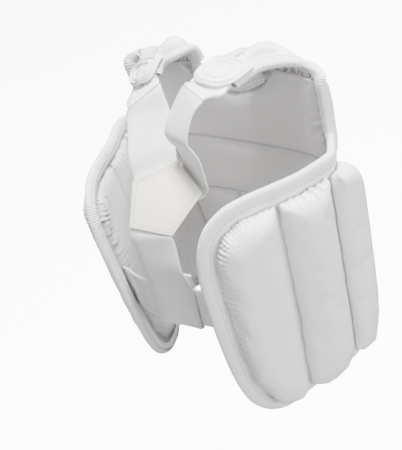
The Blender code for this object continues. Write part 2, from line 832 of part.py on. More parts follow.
def ear_across(column, along):
    """Share across a shoulder pad of one of its seven lines: edges, binding lines, shoulders and middle."""
    inner, outer = ear_edges(along)
    if column == MIDDLE_COLUMN:
        x = (ear_line(0, along, RIM_DEPTHS[3])[0] + ear_line(1, along, RIM_DEPTHS[3])[0]) / 2
    else:
        line = min(column, LAST_COLUMN - column) + 1
        if line == 1 and not rim_stops(column, along):
            line = 0
        x = ear_line(0 if column < MIDDLE_COLUMN else 1, along, RIM_DEPTHS[line])[0]
    return (x - inner) / (outer - inner)


def rim_stops(column, along):
    """Whether the rim ends clear of the binding, as at the turn of the outer edge."""
    return column > MIDDLE_COLUMN and RIM_TURN[0] < along < RIM_TURN[1]


def ear_inside(side, number, along, depth):
    """The place on a shoulder pad's base square in from its inner (0) or outer (1) edge."""
    step = EAR_REACH[2]
    levels = (along - step, along, along + step)
    run = [Vector((ear_edges(level)[number], level * EAR_LENGTH)) for level in levels]
    return chart_place(side, inset(run, depth if number == 0 else -depth)[1])


def stuffing_height(column, along):
    """Height of the stuffing of a shoulder pad at one of its seven lines."""
    if column in RIM_COLUMNS:
        return 0.0
    full = mix(SHOULDER_THICKNESS, END_THICKNESS, share(along, *STUFFING_THINS))
    full *= mix(STUFFING_START, 1.0, math.sqrt(share(along, 0.0, STUFFING_GROWN)))
    return full if column == MIDDLE_COLUMN else full * STUFFING_BESIDE


def make_shoulder_pad(side, finish):
    """A padded strip from the chest over the shoulder, with a thin rim for its binding."""
    last = len(EAR_ROWS) - 1

    def place(across, row, layer):
        column = round(across * LAST_COLUMN)
        along = max(EAR_ROWS[round(row * last)] * PAD_END, GAP / EAR_LENGTH)
        lift = 0.0 if column in RIM_COLUMNS else BED_LIFT * share(along, 0.0, BED_END)
        under = LINING_THICKNESS * (1.0 - lift)
        out = stuffing_height(column, along) if layer > 0.5 else -under
        if column in RIM_COLUMNS and rim_stops(column, along):
            out = RIM_FACES[round(layer)]
        across = ear_across(column, along)
        place = ear_point(side, across, along, out)
        if column in (0, LAST_COLUMN) and not rim_stops(column, along):
            place += rim_place(side, column // LAST_COLUMN, along) - ear_place(side, across, along)
        return place

    return finished(f"shoulder_pad_{side_word(side)}", bend(unit_slab(LAST_COLUMN, last), place), finish)


def side_word(side):
    return "left" if side > 0 else "right"


def make_bindings(finish):
    """The folded tape round the outer edge and round the neck."""
    middle = -LINING_THICKNESS / 2
    inner_half = LINING_THICKNESS / 2 + SLOT_GAP
    folded = binding_section(inner_half, inner_half + BINDING_WALL)
    section = [(inward, out + middle) for inward, out in folded]

    def ear_edge(side, number):
        rows = []
        for along in [PAD_END * row for row in EAR_ROWS[:0:-1]]:
            rows.append((ear_place(side, number, along), ear_inside(side, number, along, BINDING_WIDTH)))
        inner, outer = ear_edges(PAD_END)
        level = number + (1 - 2 * number) * BINDING_WIDTH / (outer - inner)
        rows[0] = (rows[0][0], ear_place(side, level, PAD_END))
        return rows

    def pattern_edge(side, points, depth):
        pairs = zip(points, inset(points, depth))
        return [(body_point(a.x * side, a.y, 0.0), body_point(b.x * side, b.y, 0.0)) for a, b in pairs]

    def outer_half_run(side):
        return ear_edge(side, 1) + pattern_edge(side, SIDE_OUTLINE, BINDING_WIDTH)

    def neck_half_run(side):
        return ear_edge(side, 0) + pattern_edge(side, neck_half(), -BINDING_WIDTH)

    for name, half_run, sign in (("outer_binding", outer_half_run, 1), ("neck_binding", neck_half_run, -1)):
        rows = half_run(-1)[:-1] + list(reversed(half_run(1)))
        swept(name, edge_stations(rows, sign), section, finish)


def strap_stations(rows, steps=3):
    """Stations along rows of (place, direction across), square to the way they run."""
    places = smooth_points([place for place, _ in rows], steps)
    turns = smooth_points([turn for _, turn in rows], steps)
    stations = []
    for n, place in enumerate(places):
        along = (places[min(n + 1, len(places) - 1)] - places[max(n - 1, 0)]).normalized()
        turn = (turns[n] - along * turns[n].dot(along)).normalized()
        stations.append((place, turn, along.cross(turn).normalized()))
    return stations


def strip(name, stations, width, thickness, finish):
    """A flat strap along stations."""
    half = width / 2
    deep = thickness / 2
    return swept(name, stations, ((-half, -deep), (half, -deep), (half, deep), (-half, deep)), finish)


def patch_frame():
    """Middle of the yoke patch, and its right, down and outward directions seen from behind."""
    outward = Vector(
        (
            -math.sin(PATCH_TURN) * math.cos(PATCH_RISE),
            math.cos(PATCH_TURN) * math.cos(PATCH_RISE),
            math.sin(PATCH_RISE),
        )
    )
    down = Vector(
        (
            -math.sin(PATCH_TURN) * math.sin(PATCH_RISE),
            math.cos(PATCH_TURN) * math.sin(PATCH_RISE),
            -math.cos(PATCH_RISE),
        )
    )
    down = Matrix.Rotation(PATCH_ROLL, 3, outward) @ down
    return place_of(PATCH_MIDDLE), down.cross(outward), down, outward


def patch_side(number, under, tuck):
    """Middle of one side of the patch, moved under it and in from its edge, and the way along the side."""
    middle, right, down, outward = patch_frame()
    angle = 2 * math.pi * number / 5
    reach = PATCH_SIDE / (2 * math.tan(math.pi / 5))
    away = down * math.cos(angle) + right * math.sin(angle)
    along = right * math.cos(angle) - down * math.sin(angle)
    return middle + away * (reach - tuck) - outward * under, along


def make_patch(finish):
    """The five-sided leather patch where the straps meet."""
    middle, right, down, outward = patch_frame()
    radius = PATCH_SIDE / (2 * math.sin(math.pi / 5))
    plate = bmesh.new()
    bmesh.ops.create_circle(plate, cap_ends=True, radius=radius, segments=5)
    bmesh.ops.inset_region(plate, faces=plate.faces, thickness=PATCH_THICKNESS)
    grown = bmesh.ops.extrude_face_region(plate, geom=plate.faces[:])
    bmesh.ops.translate(
        plate,
        verts=[item for item in grown["geom"] if isinstance(item, bmesh.types.BMVert)],
        vec=(0, 0, PATCH_THICKNESS),
    )
    inner = radius - PATCH_THICKNESS
    for corner in plate.verts:
        spot = Vector((corner.co.x, corner.co.y))
        if corner.co.z > 0 and spot.length > inner:
            corner.co.z = PATCH_THICKNESS * PATCH_RIM
        corner.co = middle + right * spot.x - down * spot.y + outward * (corner.co.z - PATCH_THICKNESS)
    return finished("yoke_patch", plate, finish, 20)


def make_straps(webbing, band_finish):
    """The two elastic shoulder straps, each with the short stiff band that joins it to its shoulder pad."""
    level = HOOK_BAND_THICKNESS / 2
    steps = 3
    for side, rows, number, layer in ((1, LEFT_STRAP, 2, 0), (-1, RIGHT_STRAP, 3, 1)):
        path = []
        for along in (BAND_START, (BAND_START + 1) / 2, 1.0):
            inner = ear_point(side, 0.0, along, level)
            outer = ear_point(side, 1.0, along, level)
            path.append(((inner + outer) / 2, ((inner - outer) * side).normalized()))
        band_steps = len(path) * steps
        path += [(place_of(row), turn_of(row)) for row in rows]
        under = PATCH_THICKNESS + 2 * GAP + WEBBING_THICKNESS / 2 + layer * (WEBBING_THICKNESS + 2 * GAP)
        for tuck in (-TUCK_START, STRAP_TUCK):
            place, along = patch_side(number, under, tuck)
            path.append((place, -along if along.dot(path[-1][1]) < 0 else along))
        stations = strap_stations(path, steps)
        stations[0] = (stations[0][0], path[0][1], stations[0][2])
        band, strap = stations[: band_steps + 1], stations[band_steps:]
        forward = (strap[1][0] - strap[0][0]).normalized()
        strap[0] = (strap[0][0] + forward * 2 * GAP, strap[0][1], strap[0][2])
        word = side_word(side)
        strip(f"hook_band_{word}", band, HOOK_BAND_WIDTH, HOOK_BAND_THICKNESS, band_finish)
        strip(f"shoulder_strap_{word}", strap, WEBBING_WIDTH, WEBBING_THICKNESS, webbing)


def loop_frame():
    """Middle of the belt inside the loop, the way along the belt, up, and out to the back."""
    along = turn_of(LOOP_MIDDLE)
    back = Vector((0, 1, 0))
    back = (back - along * back.dot(along)).normalized()
    up = back.cross(along)
    if up.z < 0:
        up = -up
    return place_of(LOOP_MIDDLE), along, up, back


def make_back_strap(finish):
    """The strap from the patch down the back, looped round the belt."""
    middle, along, up, back = loop_frame()
    layer = (WEBBING_THICKNESS + BACK_STRAP_THICKNESS) / 2 + LOOP_GAP
    half = WEBBING_WIDTH / 2
    under = PATCH_THICKNESS + 2 * GAP + BACK_STRAP_THICKNESS / 2
    path = []
    for tuck, drop in ((STRAP_TUCK, 0.0), (0.0, 2 * GAP), (-TUCK_START, 6 * GAP)):
        place, direction = patch_side(0, under + drop, tuck)
        path.append((place, direction if direction.x < 0 else -direction))
    path += [(place_of(row), turn_of(row)) for row in BACK_STRAP]
    path += [(middle + up * half * height + back * layer, along) for height in LOOP_DOWN]
    for angle in LOOP_TURN:
        swing = math.radians(angle)
        path.append((middle - up * half + (back * math.cos(swing) + up * math.sin(swing)) * layer, along))
    path += [(middle + up * half * height - back * layer, along) for height in LOOP_UP]
    close = layer - BACK_STRAP_THICKNESS - 2 * LOOP_GAP
    path += [(middle + up * (half + LOOP_CLOSE * n) + back * close, along) for n in (1, 2)]
    return strip("back_strap", strap_stations(path, 1), WEBBING_WIDTH, BACK_STRAP_THICKNESS, finish)


def bridge(start, start_way, end, end_way, steps):
    """Places between two ends on a smooth curve that leaves and arrives the given ways."""
    reach = (end - start).length
    out = []
    for n in range(1, steps):
        t = n / steps
        ends = start * (2 * t**3 - 3 * t**2 + 1) + end * (3 * t**2 - 2 * t**3)
        out.append(ends + start_way * reach * (t**3 - 2 * t**2 + t) + end_way * reach * (t**3 - t**2))
    return out


def make_belt(finish):
    """The elastic waist belt from the inside of one side to the other, through the loop."""
    middle, along, up, _ = loop_frame()
    seat = LINING_THICKNESS + 5 * GAP + WEBBING_THICKNESS / 2
    edge = SIDE_EDGE[13].girth * HALF_GIRTH - BINDING_WIDTH
    half = WEBBING_WIDTH / 2

    def end(side, drop, reaches):
        """Places and upright directions inside a side, from its end to where the belt leaves it."""
        height = BELT_BOTTOM_HEIGHT + half - drop
        out = []
        for reach, lift in reaches:
            girth = (edge - reach) * side
            rise = body_point(girth, height + half, -seat) - body_point(girth, height - half, -seat)
            out.append((body_point(girth, height, -seat - lift), rise.normalized()))
        return out

    left = end(1, LEFT_BELT_DROP, ((LEFT_OVERLAP, 0.0), (LEFT_OVERLAP / 2, 0.0), (BELT_LEAVES, BELT_LIFT)))
    right = end(-1, 0.0, ((BELT_OVERLAP, 0.0), (BELT_OVERLAP / 2, 0.0), (BELT_LEAVES, BELT_LIFT)))
    straight = [(middle + along * half * part, up) for part in BELT_STRAIGHT]
    path = list(left)
    for (a, a_up), (b, b_up), a_way, b_way in (
        (left[-1], straight[0], None, along),
        (straight[-1], right[-1], along, None),
    ):
        chord = (b - a).normalized()
        places = bridge(a, a_way or chord, b, b_way or chord, BELT_STEPS)
        between = [(place, a_up.lerp(b_up, (n + 1) / BELT_STEPS)) for n, place in enumerate(places)]
        path += between + (straight if b_way else right[::-1])
    return strip("waist_belt", strap_stations(path, 1), WEBBING_WIDTH, WEBBING_THICKNESS, finish)


def make_tab(side, finish):
    """The moulded tab on the end of a shoulder pad, with two raised rims of the same outline."""
    reach = TAB_LENGTH / EAR_LENGTH
    top = [(ring.size, TAB_THICKNESS + ring.raised * TAB_RIDGE_HEIGHT) for ring in TAB_RINGS]
    rings = top + [(size, 0.0) for size in TAB_BED]
    shell = bmesh.new()
    bmesh.ops.create_grid(shell, x_segments=TAB_STEPS, y_segments=len(rings) - 1, size=0.5)
    for corner in shell.verts:
        n = round((corner.co.x + 0.5) * TAB_STEPS) % TAB_STEPS
        size, height = rings[round((corner.co.y + 0.5) * (len(rings) - 1))]
        angle = 2 * math.pi * n / TAB_STEPS
        lengthwise = math.cos(angle)
        crosswise = math.sin(angle)
        power = 1.0 if lengthwise > 0 else TAB_SQUARENESS
        lengthwise = math.copysign(abs(lengthwise) ** power, lengthwise)
        crosswise = math.copysign(abs(crosswise) ** power, crosswise)
        across = 0.5 + 0.5 * crosswise * size
        along = 1.0 - reach / 2 + lengthwise * size * reach / 2
        out = tab_bed(across, along) + TAB_GAP + height
        corner.co = ear_point(side, across, min(along, 1.0), out)
    bmesh.ops.remove_doubles(shell, verts=shell.verts, dist=1e-6)
    bmesh.ops.holes_fill(shell, edges=[edge for edge in shell.edges if edge.is_boundary], sides=TAB_STEPS)
    return finished(f"shoulder_tab_{side_word(side)}", shell, finish)


def tab_bed(across, along):
    """Height of what a tab lies on: the binding at the sides, the stuffing between."""
    stuffing = 0.0
    for column in range(LAST_COLUMN):
        start, end = ear_across(column, along), ear_across(column + 1, along)
        if start <= across <= end:
            low, high = stuffing_height(column, along), stuffing_height(column + 1, along)
            stuffing = mix(low, high, share(across, start, end))
    return max(SLOT_GAP + BINDING_WALL, stuffing)


def clear_scene():
    for old in list(bpy.data.objects):
        bpy.data.objects.remove(old)


def main():
    clear_scene()
    cover = material("white_cover", (0.86, 0.87, 0.88), 0.42)
    lining = material("grey_white_lining", (0.74, 0.74, 0.75), 0.5)
    tape = material("white_tape", (0.88, 0.89, 0.90), 0.7)
    webbing = material("white_elastic", (0.85, 0.85, 0.86), 0.75)
    cream = material("cream_leather", (0.83, 0.81, 0.77), 0.5)
    moulded = material("white_moulding", (0.90, 0.91, 0.93), 0.35)
    make_lining(lining)
    make_front(cover)
    for side in (-1, 1):
        make_side(side, cover)
        make_shoulder_pad(side, cover)
        make_tab(side, moulded)
    make_bindings(tape)
    make_straps(webbing, moulded)
    make_back_strap(webbing)
    make_belt(webbing)
    make_patch(cream)


main()
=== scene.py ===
"""Dresses the karate chest protector: covers, lining, edge tape, straps, patch and their finishes.

Metres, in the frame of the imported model. The wearer faces -Y and the wearer's left is +X.
"""

import math

import bmesh
import bpy
from bpy.props import FloatProperty, FloatVectorProperty, IntProperty, PointerProperty
from mathutils import Matrix, Vector, noise
from mathutils.bvhtree import BVHTree
from mathutils.kdtree import KDTree


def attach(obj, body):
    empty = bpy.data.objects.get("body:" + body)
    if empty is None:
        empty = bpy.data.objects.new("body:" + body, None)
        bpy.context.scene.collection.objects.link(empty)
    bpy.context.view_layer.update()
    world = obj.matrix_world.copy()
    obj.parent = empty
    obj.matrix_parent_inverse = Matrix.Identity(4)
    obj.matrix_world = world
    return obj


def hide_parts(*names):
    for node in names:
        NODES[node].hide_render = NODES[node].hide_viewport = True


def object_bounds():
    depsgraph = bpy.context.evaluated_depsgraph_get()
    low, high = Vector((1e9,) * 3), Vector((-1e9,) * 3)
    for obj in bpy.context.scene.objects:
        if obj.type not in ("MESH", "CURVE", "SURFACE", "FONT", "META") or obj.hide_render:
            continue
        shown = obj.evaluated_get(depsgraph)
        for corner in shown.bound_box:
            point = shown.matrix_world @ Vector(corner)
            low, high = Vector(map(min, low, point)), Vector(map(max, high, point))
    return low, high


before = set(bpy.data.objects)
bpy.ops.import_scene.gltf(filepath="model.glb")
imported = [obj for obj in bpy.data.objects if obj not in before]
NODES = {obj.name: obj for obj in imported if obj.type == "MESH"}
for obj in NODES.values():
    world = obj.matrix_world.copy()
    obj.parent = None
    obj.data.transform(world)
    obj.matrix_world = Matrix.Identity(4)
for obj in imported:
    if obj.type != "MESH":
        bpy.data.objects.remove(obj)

bl_info = {
    "name": "Chest Protector Dressing",
    "version": (1, 0, 0),
    "blender": (4, 5, 0),
    "location": "3D View > Sidebar > Chest Protector",
    "description": "Dresses the frame of a padded karate chest protector",
    "category": "Object",
}

CAD_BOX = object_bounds()

# CAD nodes of like pieces
SIDES = ("right", "left")
SIDE_PADS = [f"side_tube_{side}_{place}" for side in SIDES for place in ("front", "middle", "back")]
FRONT_PADS = ["chest_pad", "chest_band", "front_tube_1", "front_tube_2", "front_tube_3"]
SHOULDER_PADS = [f"shoulder_pad_{side}" for side in SIDES]
STRAPS = [f"shoulder_strap_{side}" for side in SIDES] + ["back_strap", "waist_belt"]
HOOK_BANDS = [f"hook_band_{side}" for side in SIDES]
TABS = [f"shoulder_tab_{side}" for side in SIDES]
BINDINGS = ["outer_binding", "neck_binding"]

# Middle of the body in plan, which tells the inner side of the shell from its outer side
BODY_MIDDLE = Vector((0.0, 0.045))

# Cosines of the angle between a face and the way out of the body: over the first two it is raised and
# gathered, under the third the simulation holds it, and under the last it lies on the lining
RAISED_FACE = -0.2
GATHERED_FACE = -0.3
HELD_FACE = 0.1
BASE_FACE = -0.5

# Step along a pad's seams, and how far in from them its rise starts
SEAM_STEP = 0.003
SEAM_LEDGE = 0.004

# Cloth simulation: its frames, quality and stiffness, and the smoothing after it
STUFFING_FRAMES = 20
STUFFING_QUALITY = 5
STUFFING_TENSION = 18.0
STUFFING_BENDING = 0.35
RELAX_ROUNDS = 4
ROUNDING = 0.6

# Levels of the smooth surface of a shoulder pad and of a tab
PAD_LEVELS = 3
TAB_LEVELS = 2

# Height over the lowest point below which a side has no gathers and over which they grow, the widths
# between which they begin, and the depths below the shoulders between which they do
GATHER_FOOT = 0.045
GATHER_SIDE = (0.060, 0.085)
GATHER_HEAD = (0.030, 0.085)

# Share of their reach over which the gathers are full, how they wander and how their strength varies: the
# lumps to a metre, and the amounts
GATHER_FULL = 0.25
GATHER_WANDER = (30.0, 0.8)
GATHER_STRENGTH = (22.0, 0.75, 0.5)

# How far the tubes hang below the CAD pads, and from what height over their lowest point
TUBE_HANG = 0.0085
HANG_START = 0.040

# Lining: the longest edge that each cut leaves whole, how far out it looks for a pad, the height over which
# a pad shows inside, how far its outer face is raised, and how dark the painted shade in a gather is, as a
# share of the painted shade in a seam
LINING_CUTS = (0.012, 0.006, 0.003, 0.003)
PAD_REACH = 0.03
LEAST_PAD = 0.005
BACKING_RISE = 0.0008
LINING_FOLD_SHADE = 0.6

# Seam that crosses a shoulder pad: its half length, its distance from the middle of the tab, the steps from
# its middle to its end, and the height over the pad that it is dropped from
CROSS_SEAM = 0.023
CROSS_SEAM_PLACE = 0.0275
CROSS_SEAM_STEPS = 12
CROSS_SEAM_DROP = 0.04

# Stitches: their place on a tape, as shares of its width and half thickness, how flat they are, and how far
# their middle lies over a pad and over the patch, in radii of the thread
TAPE_STITCHES = (0.82, 0.99)
STITCH_FLATNESS = 0.8
PAD_STITCH_RISE = 0.3
PATCH_STITCH_RISE = 0.4

# Patch: the angle in degrees under which its faces merge, its rounded edge, the angle past which an edge
# stays sharp, and its two stitch lines as shares of its size
PATCH_MERGE = 1.0
PATCH_EDGE = 0.0007
PATCH_SHARP = 40
PATCH_STITCH_LINES = (0.93, 0.85)

# Sections of a folded tape and of a strap, as shares of the way across and of the way out. Across is a
# tape's width from its fold and a strap's half width, and out is the half thickness
TAPE_OUTER = [(1.00, 0.88), (0.75, 0.98), (0.45, 1.00), (0.18, 0.92), (0.04, 0.66), (-0.02, 0.30)]
TAPE_INNER = [(1.00, 0.62), (0.60, 0.66), (0.15, 0.60)]
STRAP_HALF = [(-0.96, -1.00), (-0.60, -0.90), (0.00, -0.90), (0.60, -0.90), (0.96, -1.00), (1.00, -0.40)]
STRAP_HALF += [(1.00, 0.40)]
TAPE_SECTION = TAPE_OUTER + [(across, -out) for across, out in TAPE_OUTER[::-1] + TAPE_INNER]
TAPE_SECTION += [(0.10, 0.00)] + TAPE_INNER[::-1]
STRAP_SECTION = STRAP_HALF + [(-across, -out) for across, out in STRAP_HALF]

# Colour of the thread
THREAD_COLOUR = (0.46, 0.42, 0.36)

# Painted shade: colour that the cover is drawn towards in the depth of a gather, where shade falls
GATHER_SHADE_COLOUR = (0.56, 0.50, 0.47)

# Painted shade: colour that the lining is drawn towards in its seams, the recesses between the pads inside
SEAM_SHADE_COLOUR = (0.34, 0.33, 0.34)

# Depth of the seams on the inside of the lining
SEAM_DEPTH = 0.0014

# Camera: its place in the frame, the way it looks and how far it leans, in degrees, and its lens in mm
CAMERA_PLACE = (-0.62053, 0.54809, 0.31280)
CAMERA_AZIMUTH = 232.29
CAMERA_ELEVATION = 30.80
CAMERA_LEAN = -18.64
CAMERA_LENS = 70.45
CAMERA_SENSOR = 36.0

# Floor: its half size, its distance below the lowest point, its colour and roughness, and the glow that
# makes the plain white ground of the picture
FLOOR_SIZE = 6.0
FLOOR_DROP = 0.35
FLOOR_COLOUR = (0.95, 0.95, 0.95, 1.0)
FLOOR_ROUGHNESS = 0.9
FLOOR_GLOW = 9.0

# Soft lights, each with its name, place, power in watts and size, their colour, and the strength of the
# world's light, which has the same colour
LIGHTS = (
    ("key", (-0.2, -0.2, 1.7), 190.0, 0.7),
    ("side", (-1.7, 0.1, 0.2), 46.0, 1.0),
    ("below", (-0.2, 1.1, -1.1), 26.0, 1.0),
    ("back", (0.3, 1.5, 0.4), 9.0, 1.4),
)
LIGHT_COLOUR = (1.0, 0.985, 0.97)
WORLD_STRENGTH = 0.42


def share(value, low, high):
    """Where value lies between low and high, kept within 0 and 1."""
    return min(1.0, max(0.0, (value - low) / (high - low)))


def ease(value, low, high):
    """Where value lies between low and high, with a soft start and end."""
    t = share(value, low, high)
    return t * t * (3 - 2 * t)


class CoverSettings(bpy.types.PropertyGroup):
    """Stuffed covers and the lining behind them."""

    cell: FloatProperty(
        name="Cell", description="Size of the covers' faces", default=0.0034, unit="LENGTH"
    )
    pressure: FloatProperty(name="Stuffing", description="Pressure of the stuffing", default=4.0)
    slack: FloatProperty(
        name="Slack", description="Spare cloth that makes the folds", default=0.012, subtype="FACTOR"
    )
    swell: FloatProperty(
        name="Swell", description="Farthest that a cover may move", default=0.0025, unit="LENGTH"
    )
    gather_height: FloatProperty(
        name="Gathers", description="Height of the gathers beside the tape", default=0.0021, unit="LENGTH"
    )
    gather_reach: FloatProperty(
        name="Gather reach", description="How far in from the tape they run", default=0.027, unit="LENGTH"
    )
    gather_pitch: FloatProperty(
        name="Gather pitch", description="Distance between two gathers", default=0.0066, unit="LENGTH"
    )
    bulge: FloatProperty(
        name="Bulge", description="Rise of a cover's middle over the CAD pad", default=0.0055, unit="LENGTH"
    )
    bulge_reach: FloatProperty(
        name="Bulge reach",
        description="Distance from the seams where it is full",
        default=0.026,
        unit="LENGTH",
    )
    quilt: FloatProperty(
        name="Quilting",
        description="Share of a pad's height that shows inside",
        default=0.42,
        subtype="FACTOR",
    )
    colour: FloatVectorProperty(
        name="Cover", description="Colour of the covers", default=(0.855, 0.855, 0.86), subtype="COLOR"
    )
    lining_colour: FloatVectorProperty(
        name="Lining", description="Colour of the lining", default=(0.71, 0.70, 0.695), subtype="COLOR"
    )


class TapeSettings(bpy.types.PropertyGroup):
    """Edge tape, straps and their stitches."""

    rib_pitch: FloatProperty(
        name="Tape ribs", description="Distance between the ribs of the tape", default=0.0027, unit="LENGTH"
    )
    strap_rib_pitch: FloatProperty(
        name="Strap ribs", description="Distance between the ribs of a strap", default=0.0014, unit="LENGTH"
    )
    stitch_length: FloatProperty(
        name="Stitch", description="Length of a stitch", default=0.0026, unit="LENGTH"
    )
    stitch_gap: FloatProperty(
        name="Stitch gap", description="Gap between two stitches", default=0.0010, unit="LENGTH"
    )
    thread: FloatProperty(name="Thread", description="Radius of the thread", default=0.0005, unit="LENGTH")
    segments: IntProperty(name="Steps", description="Steps along between two places", default=4)
    tape_colour: FloatVectorProperty(
        name="Tape", description="Colour of the tape", default=(0.87, 0.88, 0.89), subtype="COLOR"
    )
    strap_colour: FloatVectorProperty(
        name="Straps", description="Colour of the straps", default=(0.84, 0.84, 0.84), subtype="COLOR"
    )
    patch_colour: FloatVectorProperty(
        name="Patch", description="Colour of the patch", default=(0.77, 0.74, 0.67), subtype="COLOR"
    )
    moulding_colour: FloatVectorProperty(
        name="Tabs", description="Colour of the moulded tabs", default=(0.88, 0.89, 0.91), subtype="COLOR"
    )


class Wire:
    """A number that comes out of a node, for use in sums."""

    def __init__(self, finish, socket):
        self.finish = finish
        self.socket = socket

    def _sum(self, operation, a, b):
        return self.finish.node("ShaderNodeMath", {"operation": operation}, {0: a, 1: b})

    def __add__(self, other):
        return self._sum("ADD", self, other)

    def __radd__(self, other):
        return self._sum("ADD", other, self)

    def __sub__(self, other):
        return self._sum("SUBTRACT", self, other)

    def __rsub__(self, other):
        return self._sum("SUBTRACT", other, self)

    def __mul__(self, other):
        return self._sum("MULTIPLY", self, other)

    def __rmul__(self, other):
        return self._sum("MULTIPLY", other, self)


class Finish:
    """A material that is put together from nodes."""

    def __init__(self, name, roughness, **constants):
        self.material = bpy.data.materials.new(name)
        self.material.use_nodes = True
        self.tree = self.material.node_tree
        self.shader = self.tree.nodes["Principled BSDF"]
        self.shader.inputs["Roughness"].default_value = roughness
        for socket, value in constants.items():
            self.shader.inputs[socket.replace("_", " ")].default_value = value
        self.place = self.node("ShaderNodeTexCoord", {}, {}, "Object")

    def node(self, kind, settings, values, output=0):
        """Adds a node of a type, with its settings and the values or wires of its sockets."""
        made = self.tree.nodes.new(kind)
        for name, value in settings.items():
            setattr(made, name, value)
        for name, value in values.items():
            if isinstance(value, Wire):
                self.tree.links.new(value.socket, made.inputs[name])
            else:
                made.inputs[name].default_value = value
        return Wire(self, made.outputs[output])

    def speckle(self, scale, detail=2.0, rough=0.5):
        """Soft noise between 0 and 1, with so many lumps to a metre."""
        values = {"Vector": self.place, "Scale": scale, "Detail": detail, "Roughness": rough}
        return self.node("ShaderNodeTexNoise", {}, values)

    def measure(self, name):
        """A measure that is kept on the mesh."""
        return self.node("ShaderNodeAttribute", {"attribute_name": name}, {}, "Fac")

    def wave(self, distance, pitch):
        """A smooth wave between -1 and 1 with a pitch, along a distance."""
        return self.node("ShaderNodeMath", {"operation": "SINE"}, {0: distance * (2 * math.pi / pitch)})

    def blend(self, amount, first, second):
        """A colour between two colours."""
        settings = {"data_type": "RGBA", "clamp_factor": True}
        values = {0: amount, 6: (*first, 1.0), 7: (*second, 1.0)}
        return self.node("ShaderNodeMix", settings, values, 2)

    def tint(self, base, colour, amount):
        """A colour wire drawn towards a colour."""
        settings = {"data_type": "RGBA", "clamp_factor": True}
        return self.node("ShaderNodeMix", settings, {0: amount, 6: base, 7: (*colour, 1.0)}, 2)

    def wear(self, socket, wire):
        """Feeds a wire to a socket of the shader."""
        self.tree.links.new(wire.socket, self.shader.inputs[socket])
        return self

    def relief(self, height, depth):
        """Bumps of a height wire, with a depth in metres."""
        values = {"Strength": 1.0, "Distance": depth, "Height": height}
        return self.wear("Normal", self.node("ShaderNodeBump", {}, values, "Normal"))


def shade(colour, amount):
    """A colour made lighter or darker."""
    return tuple(part * amount for part in colour)


def cover_finish(settings):
    """Smooth, slightly shiny cover with a fine grain, with painted shade in the troughs of its gathers."""
    finish = Finish("stuffed_cover", 0.40, Coat_Weight=0.10, Coat_Roughness=0.35)
    tone = finish.speckle(26.0, 3.0)
    plain = finish.blend(tone, shade(settings.colour, 0.965), shade(settings.colour, 1.02))
    # Painted shade: the colour is drawn towards a shaded peach in the troughs of the gathers
    finish.wear("Base Color", finish.tint(plain, GATHER_SHADE_COLOUR, finish.measure("recess_shade") * 0.8))
    finish.wear("Roughness", 0.34 + finish.speckle(140.0, 3.0) * 0.16)
    grain = finish.speckle(1500.0, 3.0) * 0.25 + finish.speckle(190.0, 4.0, 0.6)
    return finish.relief(grain, 0.0006).material


def lining_finish(settings):
    """Dull lining with a fine weave, with painted shade in its seams and in the troughs of its gathers."""
    finish = Finish("quilted_lining", 0.72, Sheen_Weight=0.12)
    tone = finish.speckle(18.0, 3.0)
    plain = finish.blend(tone, shade(settings.lining_colour, 0.95), shade(settings.lining_colour, 1.03))
    # Painted shade: the colour is drawn towards dark grey in the seams and the troughs of the gathers
    finish.wear("Base Color", finish.tint(plain, SEAM_SHADE_COLOUR, finish.measure("recess_shade") * 0.75))
    weave = finish.speckle(1900.0, 1.0) * 0.5 + finish.speckle(230.0, 4.0, 0.6)
    return finish.relief(weave, 0.0006).material


def tape_finish(settings):
    """Tape with ribs across it, with painted shade in the troughs between the ribs."""
    finish = Finish("edge_tape", 0.66, Sheen_Weight=0.15)
    ribs = finish.wave(finish.measure("along"), settings.rib_pitch)
    tone = ribs * 0.5 + 0.5
    # Painted shade: the colour is darker in the troughs between the ribs
    low = shade(settings.tape_colour, 0.80)
    finish.wear("Base Color", finish.blend(tone, low, settings.tape_colour))
    return finish.relief(ribs * 0.5 + finish.speckle(1200.0, 2.0) * 0.5, 0.0004).material


def strap_finish(settings):
    """Woven elastic with cords along it, with painted shade in the hollows of the weave."""
    finish = Finish("elastic_strap", 0.7, Sheen_Weight=0.15)
    along = finish.wave(finish.measure("along"), settings.strap_rib_pitch)
    across = finish.wave(finish.measure("across"), settings.strap_rib_pitch * 1.6)
    weave = along * across
    tone = weave * 0.3 + finish.speckle(60.0, 3.0) * 0.7
    # Painted shade: the weave makes the colour darker in its hollows; the speckle is random tone
    low = shade(settings.strap_colour, 0.93)
    finish.wear("Base Color", finish.blend(tone, low, shade(settings.strap_colour, 1.02)))
    return finish.relief(weave * 0.6 + across * 0.4, 0.0003).material


def patch_finish(settings):
    """Cream leather with a pebbled grain."""
    finish = Finish("patch_leather", 0.5, Coat_Weight=0.05)
    tone = finish.speckle(45.0, 4.0)
    low = shade(settings.patch_colour, 0.94)
    finish.wear("Base Color", finish.blend(tone, low, shade(settings.patch_colour, 1.03)))
    finish.wear("Roughness", 0.42 + finish.speckle(300.0, 3.0) * 0.2)
    return finish.relief(finish.speckle(1100.0, 4.0, 0.6), 0.0004).material


def moulding_finish(settings):
    """Smooth moulded plastic with faint wear."""
    finish = Finish("moulded_tab", 0.38)
    tone = finish.speckle(50.0, 3.0)
    low = shade(settings.moulding_colour, 0.97)
    finish.wear("Base Color", finish.blend(tone, low, shade(settings.moulding_colour, 1.01)))
    finish.wear("Roughness", 0.32 + finish.speckle(400.0, 2.0) * 0.12)
    return finish.relief(finish.speckle(900.0, 2.0), 0.00015).material


def thread_finish():
    """Twisted sewing thread."""
    finish = Finish("thread", 0.6, Sheen_Weight=0.1)
    twist = finish.speckle(2500.0, 1.0)
    finish.wear("Base Color", finish.blend(twist, shade(THREAD_COLOUR, 0.9), shade(THREAD_COLOUR, 1.1)))
    return finish.relief(twist, 0.0001).material


